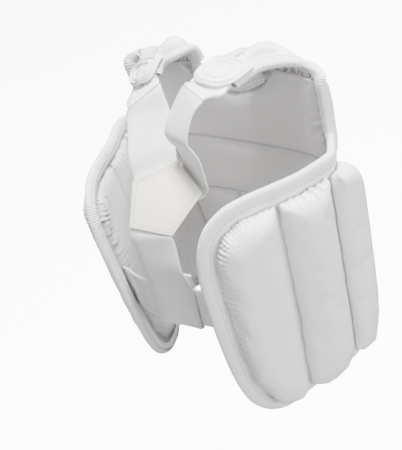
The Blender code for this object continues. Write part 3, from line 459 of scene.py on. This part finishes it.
def finish_of(name):
    """A finish by name, made once."""
    scene = bpy.context.scene
    made = {
        "stuffed_cover": lambda: cover_finish(scene.cover_settings),
        "quilted_lining": lambda: lining_finish(scene.cover_settings),
        "edge_tape": lambda: tape_finish(scene.tape_settings),
        "elastic_strap": lambda: strap_finish(scene.tape_settings),
        "patch_leather": lambda: patch_finish(scene.tape_settings),
        "moulded_tab": lambda: moulding_finish(scene.tape_settings),
        "thread": thread_finish,
    }
    return bpy.data.materials.get(name) or made[name]()


def solid_of(node):
    """A merged copy of a CAD node's mesh."""
    solid = bmesh.new()
    solid.from_mesh(NODES[node].data)
    bmesh.ops.remove_doubles(solid, verts=solid.verts, dist=1e-6)
    return solid


def piece_of(name, solid, finish, replaced=(), smooth=60):
    """Makes a piece of a bmesh, riding on the body and standing for CAD nodes."""
    mesh = bpy.data.meshes.new(name)
    solid.to_mesh(mesh)
    solid.free()
    mesh.shade_smooth()
    mesh.set_sharp_from_angle(angle=math.radians(smooth))
    piece = bpy.data.objects.new(name, mesh)
    bpy.context.scene.collection.objects.link(piece)
    piece.data.materials.append(finish_of(finish))
    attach(piece, "root")
    if replaced:
        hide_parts(*replaced)
    return piece


def settled(piece):
    """Applies a piece's modifiers, so that its mesh is what shows."""
    graph = bpy.context.evaluated_depsgraph_get()
    mesh = bpy.data.meshes.new_from_object(piece.evaluated_get(graph))
    piece.modifiers.clear()
    old = piece.data
    piece.data = mesh
    bpy.data.meshes.remove(old)
    return piece


def loop_of(spots):
    """A section's corners in order round it, without the lines that cross an end."""
    loop = [min(spots, key=lambda spot: spot.co[:])]
    while len(loop) < len(spots):
        for edge in loop[-1].link_edges:
            other = edge.other_vert(loop[-1])
            rim = any(not spots.issuperset(face.verts) for face in edge.link_faces)
            if rim and other in spots and other not in loop:
                loop.append(other)
                break
        else:
            return None
    return loop


def rings_from(start, corners, total):
    """The loops that follow one another from an end's corners, or None where they miss part of the mesh."""
    loops = []
    known = set()
    level = set(start)
    while level:
        loop = loop_of(level) if len(level) == corners else None
        if loop is None:
            return None
        if loops:
            turned = [loop[n:] + loop[:n] for n in range(corners)]
            turned += [list(reversed(run)) for run in turned]
            loop = min(turned, key=lambda run: sum((a.co - b.co).length for a, b in zip(run, loops[-1])))
        loops.append(loop)
        known |= level
        level = {edge.other_vert(spot) for spot in level for edge in spot.link_edges} - known
    return loops if len(known) == total else None


def rings_of(node, corners):
    """The sections of a swept CAD node in order, each a list of its corners."""
    solid = solid_of(node)
    solid.normal_update()
    seen = set()
    found = None
    for face in solid.faces:
        group = {face}
        queue = [face]
        while queue and len(group) < corners - 1:
            for edge in queue.pop().edges:
                for other in edge.link_faces:
                    if other not in group and other.normal.angle(face.normal) < math.radians(1.5):
                        group.add(other)
                        queue.append(other)
        spots = frozenset(spot for f in group for spot in f.verts)
        if len(group) != corners - 2 or len(spots) != corners or spots in seen:
            continue
        seen.add(spots)
        found = rings_from(spots, corners, len(solid.verts))
        if found:
            break
    if not found:
        raise RuntimeError(f"{node} has no end that its sections follow from")
    places = [[spot.co.copy() for spot in ring] for ring in found]
    solid.free()
    return places


def aligned(rings, lengths):
    """Turns the rings so that their sides come in the order of the given lengths."""
    count = len(lengths)

    def error(start, way):
        total = 0.0
        for ring in rings[:: max(1, len(rings) // 6)]:
            for n, wanted in enumerate(lengths):
                a = ring[(start + way * n) % count]
                b = ring[(start + way * (n + 1)) % count]
                total += abs((b - a).length - wanted)
        return total

    start, way = min(((s, w) for s in range(count) for w in (1, -1)), key=lambda pair: error(*pair))
    return [[ring[(start + way * n) % count] for n in range(count)] for ring in rings]


def curve_through(values, steps):
    """Values on a smooth curve through the given ones, so many steps to a stretch."""
    out = []
    last = len(values) - 1
    for n in range(last):
        b, c = values[n], values[n + 1]
        a = values[n - 1] if n else b * 2 - c
        d = values[n + 2] if n + 2 <= last else c * 2 - b
        for step in range(steps):
            t = step / steps
            bow = (a * 2 - b * 5 + c * 4 - d) * t**2 + (b * 3 - a - c * 3 + d) * t**3
            out.append((b * 2 + (c - a) * t + bow) * 0.5)
    out.append(values[-1])
    return out


class Run:
    """Stations along a tape or strap: the place, the ways across and out, and the distance along."""

    def __init__(self, places, across, out, steps):
        self.places = curve_through(places, steps)
        self.across = curve_through(across, steps)
        self.out = curve_through(out, steps)
        self.along = [0.0]
        for a, b in zip(self.places, self.places[1:]):
            self.along.append(self.along[-1] + (b - a).length)


def strap_run(node, steps):
    """The run of a flat strap, from its four-cornered sections."""
    rings = rings_of(node, 4)
    sides = [[(b - a).length for a, b in zip(ring, ring[1:] + ring[:1])] for ring in rings]
    wide = max(sides[len(sides) // 2])
    thin = min(sides[len(sides) // 2])
    rings = aligned(rings, (wide, thin, wide, thin))
    places = [sum(ring, Vector()) / 4 for ring in rings]
    across = [(ring[1] + ring[2] - ring[0] - ring[3]) / 4 for ring in rings]
    out = [(ring[2] + ring[3] - ring[0] - ring[1]) / 4 for ring in rings]
    return Run(places, across, out, steps)


def tape_run(node, steps):
    """The run of a folded tape, from its eight-cornered sections: places on the fold, ways in and out."""
    rings = rings_of(node, 8)
    middle = rings[len(rings) // 2]
    sides = sorted((b - a).length for a, b in zip(middle, middle[1:] + middle[:1]))
    wall, slot, fold, wide = sides[0], sides[2], sides[3], sides[7]
    rings = aligned(rings, (wide, fold, wide, wall, wide - wall, slot, wide - wall, wall))
    places = [(ring[1] + ring[2]) / 2 for ring in rings]
    inward = [(ring[0] + ring[3]) / 2 - (ring[1] + ring[2]) / 2 for ring in rings]
    out = [(ring[0] - ring[3]) / 2 for ring in rings]
    return Run(places, inward, out, steps)


def swept(run, section):
    """A closed strip with a section of (share across, share out) pairs along a run, its distances kept."""
    around = len(section)
    last = len(run.places) - 1
    strip = bmesh.new()
    bmesh.ops.create_grid(strip, x_segments=last, y_segments=around, size=0.5)
    along = strip.verts.layers.float.new("along")
    across = strip.verts.layers.float.new("across")
    for spot in strip.verts:
        n = round((spot.co.x + 0.5) * last)
        side, out = section[round((spot.co.y + 0.5) * around) % around]
        spot[along] = run.along[n]
        spot[across] = side * run.across[n].length
        spot.co = run.places[n] + run.across[n] * side + run.out[n] * out
    bmesh.ops.remove_doubles(strip, verts=strip.verts, dist=1e-6)
    bmesh.ops.holes_fill(strip, edges=[edge for edge in strip.edges if edge.is_boundary], sides=around)
    bmesh.ops.recalc_face_normals(strip, faces=strip.faces)
    return strip


def tree_of(spots):
    """A tree of places, for finding the nearest one."""
    tree = KDTree(len(spots))
    for n, spot in enumerate(spots):
        tree.insert(spot, n)
    tree.balance()
    return tree


class Edges:
    """The taped edges, for finding how far a point is from the nearest one and how far along it lies."""

    def __init__(self, runs):
        self.spots = []
        for run in runs:
            for place, inward, along in zip(run.places, run.across, run.along):
                self.spots.append((place + inward, along))
        self.tree = tree_of([spot for spot, _ in self.spots])

    def nearest(self, point):
        """How far along the nearest edge lies, and how far away."""
        _, number, distance = self.tree.find(point)
        return self.spots[number][1], distance


def outward_at(point):
    """The way out of the body at a point, in plan."""
    way = Vector((point.x, point.y)) - BODY_MIDDLE
    return Vector((way.x, way.y, 0.0)).normalized()


def gathers(edges, point, settings):
    """Height of the gathers at a point: ridges square to the nearest taped edge that die away from it."""
    along, distance = edges.nearest(point)
    fade = 1 - ease(distance, settings.gather_reach * GATHER_FULL, settings.gather_reach)
    low = CAD_BOX[0].z + GATHER_FOOT
    side = ease(abs(point.x), *GATHER_SIDE) * ease(point.z, low, low + GATHER_FOOT)
    side *= ease(-point.z, *GATHER_HEAD)
    wander = noise.noise(point * GATHER_WANDER[0]) * GATHER_WANDER[1]
    ridge = math.sin(2 * math.pi * (along / settings.gather_pitch + wander))
    lumps, least, spread = GATHER_STRENGTH
    strong = least + spread * noise.noise(Vector((along * lumps, 0.0, 5.0)))
    return ridge * fade * side * settings.gather_height * strong


def stuff(piece, settings, held):
    """Blows a closed cover up as stuffing does, except where held(point, normal) is true."""
    start = [spot.co.copy() for spot in piece.data.vertices]
    group = piece.vertex_groups.new(name="held")
    for spot in piece.data.vertices:
        if held(spot.co, spot.normal):
            group.add([spot.index], 1.0, "REPLACE")
    cloth = piece.modifiers.new("stuffing", "CLOTH")
    cloth.settings.effector_weights.gravity = 0.0
    cloth.settings.use_pressure = True
    cloth.settings.uniform_pressure_force = settings.pressure
    cloth.settings.shrink_min = -settings.slack
    cloth.settings.vertex_group_mass = "held"
    cloth.settings.quality = STUFFING_QUALITY
    cloth.settings.tension_stiffness = STUFFING_TENSION
    cloth.settings.bending_stiffness = STUFFING_BENDING
    cloth.collision_settings.use_collision = False
    cloth.point_cache.frame_start = 1
    cloth.point_cache.frame_end = STUFFING_FRAMES
    scene = bpy.context.scene
    for number in range(1, STUFFING_FRAMES + 1):
        scene.frame_set(number)
    settled(piece)
    scene.frame_set(1)
    for spot, was in zip(piece.data.vertices, start):
        moved = spot.co - was
        if moved.length > settings.swell:
            spot.co = was + moved.normalized() * settings.swell
    piece.vertex_groups.clear()


def relax(solid):
    """Smooths a mesh by half a step."""
    bmesh.ops.smooth_vert(
        solid, verts=solid.verts, factor=0.5, use_axis_x=True, use_axis_y=True, use_axis_z=True
    )


def rounded(piece, levels):
    """Gives a piece a smooth surface of so many levels."""
    smooth = piece.modifiers.new("smooth", "SUBSURF")
    smooth.levels = levels
    smooth.render_levels = levels


def seams_of(solid):
    """The rim of a pad, where its outer face turns down to the lining."""
    spots = []
    for edge in solid.edges:
        if len(edge.link_faces) == 2:
            faces = [face.normal.dot(outward_at(face.calc_center_median())) for face in edge.link_faces]
            if min(faces) < BASE_FACE < max(faces):
                a, b = (spot.co for spot in edge.verts)
                count = max(1, round((a - b).length / SEAM_STEP))
                spots += [a.lerp(b, n / count) for n in range(count)]
    return tree_of(spots)


def cover(node, settings, edges):
    """A stuffed cover in the space of a CAD pad, with gathers beside the taped edges."""
    solid = solid_of(node)
    solid.normal_update()
    seams = seams_of(solid)
    piece = piece_of(f"cover_{node}", solid, "stuffed_cover", (node,))
    remesh = piece.modifiers.new("cells", "REMESH")
    remesh.mode = "VOXEL"
    remesh.voxel_size = settings.cell
    settled(piece)

    low = min(spot.co.z for spot in piece.data.vertices)
    hang = TUBE_HANG if "tube" in node else 0.0
    for spot in piece.data.vertices:
        out = outward_at(spot.co)
        if spot.normal.dot(out) > RAISED_FACE:
            distance = seams.find(spot.co)[2]
            rise = math.sin(math.pi / 2 * share(distance, SEAM_LEDGE, settings.bulge_reach))
            spot.co += out * settings.bulge * rise
        spot.co.z -= hang * (1 - ease(spot.co.z, low, low + HANG_START))

    def held(point, normal):
        return normal.dot(outward_at(point)) < HELD_FACE

    stuff(piece, settings, held)
    solid = bmesh.new()
    solid.from_mesh(piece.data)
    for _ in range(RELAX_ROUNDS):
        relax(solid)
    bmesh.ops.subdivide_edges(solid, edges=solid.edges, cuts=1, use_grid_fill=True, smooth=ROUNDING)
    solid.normal_update()
    # How deep each point lies in a gather's trough, which sets the painted shade of the cover there
    recess_shade = solid.verts.layers.float.new("recess_shade")
    for spot in solid.verts:
        if spot.normal.dot(outward_at(spot.co)) > GATHERED_FACE:
            height = gathers(edges, spot.co, settings)
            spot[recess_shade] = share(-height, 0.0, settings.gather_height)
            spot.co += spot.normal * height
    solid.to_mesh(piece.data)
    solid.free()
    piece.data.shade_smooth()


def lining(settings, edges):
    """The shell behind the covers: quilted inside, plain cover outside."""
    pads = bmesh.new()
    for node in FRONT_PADS + SIDE_PADS:
        pads.from_mesh(NODES[node].data)
    tree = BVHTree.FromBMesh(pads)
    pads.free()
    shell = solid_of("body_lining")
    for longest in LINING_CUTS:
        long = [edge for edge in shell.edges if edge.calc_length() > longest]
        bmesh.ops.subdivide_edges(shell, edges=long, cuts=1, use_grid_fill=False, smooth=0.0)
        bmesh.ops.triangulate(shell, faces=shell.faces)
    shell.normal_update()
    moves = []
    # Where painted shade falls inside: the seams with no pad behind them, and the troughs of the gathers
    recess_shade = shell.verts.layers.float.new("recess_shade")
    for spot in shell.verts:
        out = outward_at(spot.co)
        inside = spot.normal.dot(out) < 0
        way = spot.normal if not inside else -spot.normal
        hit, _, _, _ = tree.ray_cast(spot.co + way * PAD_REACH, -way, PAD_REACH)
        height = 0.0
        if hit is not None:
            height = max(0.0, (hit - spot.co).dot(way) - LEAST_PAD) + SEAM_DEPTH / settings.quilt
        moves.append((spot, inside, height))
    for spot, inside, height in moves:
        if inside:
            fold = gathers(edges, spot.co, settings)
            move = height * settings.quilt + fold
            # Painted shade in a gather's trough, lighter than the painted shade in a seam
            folded = share(-fold, 0.0, settings.gather_height) * LINING_FOLD_SHADE
            spot[recess_shade] = max(folded, 0.0 if height else 1.0)
        else:
            move = BACKING_RISE
        spot.co += spot.normal * move
    relax(shell)
    shell.normal_update()
    for face in shell.faces:
        middle = face.calc_center_median()
        face.material_index = 0 if face.normal.dot(outward_at(middle)) < 0 else 1
    piece = piece_of("quilted_shell", shell, "quilted_lining", ("body_lining",))
    piece.data.materials.append(finish_of("stuffed_cover"))


def stitch_line(thread, spots, settings):
    """Adds a row of stitches along spots of (place, way out)."""
    pitch = settings.stitch_length + settings.stitch_gap
    size = Matrix.Diagonal(
        (settings.stitch_length / 2, settings.thread, settings.thread * STITCH_FLATNESS, 1.0)
    )
    travelled = 0.0
    due = 0.0
    for (a, out), (b, _) in zip(spots, spots[1:]):
        length = (b - a).length
        if length < 1e-7:
            continue
        way = (b - a) / length
        while due <= travelled + length:
            middle = a + way * (due - travelled)
            side = way.cross(out).normalized()
            up = side.cross(way).normalized()
            turn = Matrix((way, side, up)).transposed().to_4x4()
            matrix = Matrix.Translation(middle) @ turn @ size
            bmesh.ops.create_icosphere(thread, subdivisions=1, radius=1.0, matrix=matrix)
            due += pitch
        travelled += length


def centre_of(piece):
    """Mean place of a piece's points."""
    return sum((spot.co for spot in piece.data.vertices), Vector()) / len(piece.data.vertices)


def cross_seam(thread, pad, tab, settings):
    """Adds the stitches that cross a shoulder pad in front of its tab."""
    centre = centre_of(NODES[tab])
    way = (centre_of(pad) - centre).normalized()
    up = Vector((0.0, 0.0, 1.0))
    up = (up - way * up.dot(way)).normalized()
    across = way.cross(up)
    surface = BVHTree.FromObject(pad, bpy.context.evaluated_depsgraph_get())
    spots = []
    for n in range(-CROSS_SEAM_STEPS, CROSS_SEAM_STEPS + 1):
        start = centre + way * CROSS_SEAM_PLACE + across * CROSS_SEAM * n / CROSS_SEAM_STEPS
        hit, normal, _, _ = surface.ray_cast(start + up * CROSS_SEAM_DROP, -up, CROSS_SEAM_DROP * 2)
        if hit is not None:
            spots.append((hit + normal * settings.thread * PAD_STITCH_RISE, normal))
    stitch_line(thread, spots, settings)


class OBJECT_OT_dress_covers(bpy.types.Operator):
    """Makes the stuffed covers of the front and the sides"""

    bl_idname = "object.dress_covers"
    bl_label = "Stuffed Covers"

    def execute(self, context):
        settings = context.scene.cover_settings
        edges = Edges([tape_run(node, context.scene.tape_settings.segments) for node in BINDINGS])
        for node in FRONT_PADS + SIDE_PADS:
            cover(node, settings, edges)
        lining(settings, edges)
        return {"FINISHED"}


class OBJECT_OT_dress_shoulders(bpy.types.Operator):
    """Makes the shoulder pads and the moulded tabs on their ends"""

    bl_idname = "object.dress_shoulders"
    bl_label = "Shoulder Pads"

    def execute(self, context):
        thread = bmesh.new()
        for node in SHOULDER_PADS:
            piece = piece_of(f"stuffed_{node}", solid_of(node), "stuffed_cover", (node,))
            rounded(piece, PAD_LEVELS)
            cross_seam(thread, settled(piece), node.replace("pad", "tab"), context.scene.tape_settings)
        piece_of("shoulder_stitches", thread, "thread")
        for node in TABS:
            piece = piece_of(f"moulded_{node}", solid_of(node), "moulded_tab", (node,))
            rounded(piece, TAB_LEVELS)
        return {"FINISHED"}


class OBJECT_OT_dress_tapes(bpy.types.Operator):
    """Makes the ribbed tape round the edges, with its stitches"""

    bl_idname = "object.dress_tapes"
    bl_label = "Edge Tape"

    def execute(self, context):
        settings = context.scene.tape_settings
        thread = bmesh.new()
        across, high = TAPE_STITCHES
        for node in BINDINGS:
            run = tape_run(node, settings.segments)
            piece_of(f"ribbed_{node}", swept(run, TAPE_SECTION), "edge_tape", (node,))
            for face in (1, -1):
                spots = []
                for place, inward, out in zip(run.places, run.across, run.out):
                    spots.append((place + inward * across + out * face * high, out * face))
                stitch_line(thread, spots, settings)
        piece_of("tape_stitches", thread, "thread")
        return {"FINISHED"}


class OBJECT_OT_dress_straps(bpy.types.Operator):
    """Makes the elastic straps, the belt and the stiff bands"""

    bl_idname = "object.dress_straps"
    bl_label = "Straps"

    def execute(self, context):
        settings = context.scene.tape_settings
        for node in STRAPS + HOOK_BANDS:
            run = strap_run(node, settings.segments)
            finish, slot = ("elastic_strap", "white_elastic")
            if node in HOOK_BANDS:
                finish, slot = ("moulded_tab", "white_moulding")
            piece_of(f"woven_{node}", swept(run, STRAP_SECTION), finish, (node,))
        return {"FINISHED"}


class OBJECT_OT_dress_patch(bpy.types.Operator):
    """Makes the leather patch where the straps meet, with its stitches"""

    bl_idname = "object.dress_patch"
    bl_label = "Patch"

    def execute(self, context):
        settings = context.scene.tape_settings
        solid = solid_of("yoke_patch")
        flat = math.radians(PATCH_MERGE)
        bmesh.ops.dissolve_limit(solid, angle_limit=flat, verts=solid.verts, edges=solid.edges)
        solid.normal_update()
        top = max((face for face in solid.faces if len(face.verts) == 5), key=lambda face: face.normal.z)
        rim = [spot.co.copy() for spot in top.verts]
        normal = top.normal.copy()
        centre = top.calc_center_median()
        edges = solid.edges[:]
        bmesh.ops.bevel(
            solid, geom=edges, offset=PATCH_EDGE, affect="EDGES", segments=2, profile=0.5, material=-1
        )
        piece_of("leather_patch", solid, "patch_leather", ("yoke_patch",), PATCH_SHARP)
        thread = bmesh.new()
        raised = centre + normal * settings.thread * PATCH_STITCH_RISE
        for scale in PATCH_STITCH_LINES:
            corners = [raised + (spot - centre) * scale for spot in rim]
            stitch_line(thread, [(spot, normal) for spot in corners + corners[:1]], settings)
        piece_of("patch_stitches", thread, "thread")
        return {"FINISHED"}


def lay_floor(scene):
    """A pale floor that only the camera sees, so that its glow doesn't light the object."""
    floor = bmesh.new()
    bmesh.ops.create_grid(floor, x_segments=1, y_segments=1, size=FLOOR_SIZE)
    bmesh.ops.translate(floor, verts=floor.verts, vec=(0.0, 0.0, CAD_BOX[0].z - FLOOR_DROP))
    mesh = bpy.data.meshes.new("studio_floor")
    floor.to_mesh(mesh)
    floor.free()
    paint = bpy.data.materials.new("studio_floor")
    paint.use_nodes = True
    sockets = paint.node_tree.nodes["Principled BSDF"].inputs
    sockets["Base Color"].default_value = FLOOR_COLOUR
    sockets["Roughness"].default_value = FLOOR_ROUGHNESS
    sockets["Emission Color"].default_value = (1.0, 1.0, 1.0, 1.0)
    sockets["Emission Strength"].default_value = FLOOR_GLOW
    mesh.materials.append(paint)
    ground = bpy.data.objects.new("studio_floor", mesh)
    scene.collection.objects.link(ground)
    ground.visible_diffuse = False
    ground.visible_glossy = False


def hang_lights(scene):
    """The world's even light and the soft lights, which face the middle of the object."""
    world = bpy.data.worlds.new("studio")
    world.use_nodes = True
    sockets = world.node_tree.nodes["Background"].inputs
    sockets["Color"].default_value = (*LIGHT_COLOUR, 1.0)
    sockets["Strength"].default_value = WORLD_STRENGTH
    scene.world = world
    middle = (CAD_BOX[0] + CAD_BOX[1]) / 2
    for name, place, power, size in LIGHTS:
        light = bpy.data.lights.new(name, "AREA")
        light.energy = power
        light.color = LIGHT_COLOUR
        light.size = size
        lamp = bpy.data.objects.new(name, light)
        lamp.location = place
        lamp.rotation_euler = (middle - Vector(place)).to_track_quat("-Z", "Y").to_euler()
        scene.collection.objects.link(lamp)


def place_camera(scene):
    """The camera of the picture, which leans to one side."""
    view = bpy.data.cameras.new("view")
    view.sensor_fit = "VERTICAL"
    view.sensor_height = CAMERA_SENSOR
    view.lens = CAMERA_LENS
    azimuth = math.radians(CAMERA_AZIMUTH)
    elevation = math.radians(CAMERA_ELEVATION)
    lean = math.radians(CAMERA_LEAN)
    level = math.cos(elevation)
    back = Vector((math.sin(azimuth) * level, -math.cos(azimuth) * level, math.sin(elevation)))
    right = Vector((math.cos(azimuth), math.sin(azimuth), 0.0))
    up = back.cross(right)
    leaned = right * math.cos(lean) + up * math.sin(lean)
    upward = up * math.cos(lean) - right * math.sin(lean)
    camera = bpy.data.objects.new("view", view)
    turn = Matrix((leaned, upward, back)).transposed().to_4x4()
    camera.matrix_world = Matrix.Translation(CAMERA_PLACE) @ turn
    scene.collection.objects.link(camera)
    scene.camera = camera


class OBJECT_OT_set_stage(bpy.types.Operator):
    """Makes the pale floor, the soft lights and the camera"""

    bl_idname = "object.set_stage"
    bl_label = "Stage"

    def execute(self, context):
        lay_floor(context.scene)
        hang_lights(context.scene)
        place_camera(context.scene)
        return {"FINISHED"}


class VIEW3D_PT_chest_protector(bpy.types.Panel):
    """Lists the steps that dress the chest protector"""

    bl_label = "Chest Protector"
    bl_idname = "VIEW3D_PT_chest_protector"
    bl_space_type = "VIEW_3D"
    bl_region_type = "UI"
    bl_category = "Chest Protector"

    def draw(self, context):
        for step in OPERATORS:
            self.layout.operator(step.bl_idname)


OPERATORS = (
    OBJECT_OT_set_stage,
    OBJECT_OT_dress_covers,
    OBJECT_OT_dress_shoulders,
    OBJECT_OT_dress_tapes,
    OBJECT_OT_dress_straps,
    OBJECT_OT_dress_patch,
)
CLASSES = (CoverSettings, TapeSettings, *OPERATORS, VIEW3D_PT_chest_protector)


def register():
    for cls in CLASSES:
        bpy.utils.register_class(cls)
    bpy.types.Scene.cover_settings = PointerProperty(type=CoverSettings)
    bpy.types.Scene.tape_settings = PointerProperty(type=TapeSettings)


def unregister():
    del bpy.types.Scene.tape_settings
    del bpy.types.Scene.cover_settings
    for cls in reversed(CLASSES):
        bpy.utils.unregister_class(cls)


def main():
    """Makes every piece and the stage."""
    register()
    for step in OPERATORS:
        group, name = step.bl_idname.split(".")
        getattr(getattr(bpy.ops, group), name)()


if __name__ == "__main__":
    main()
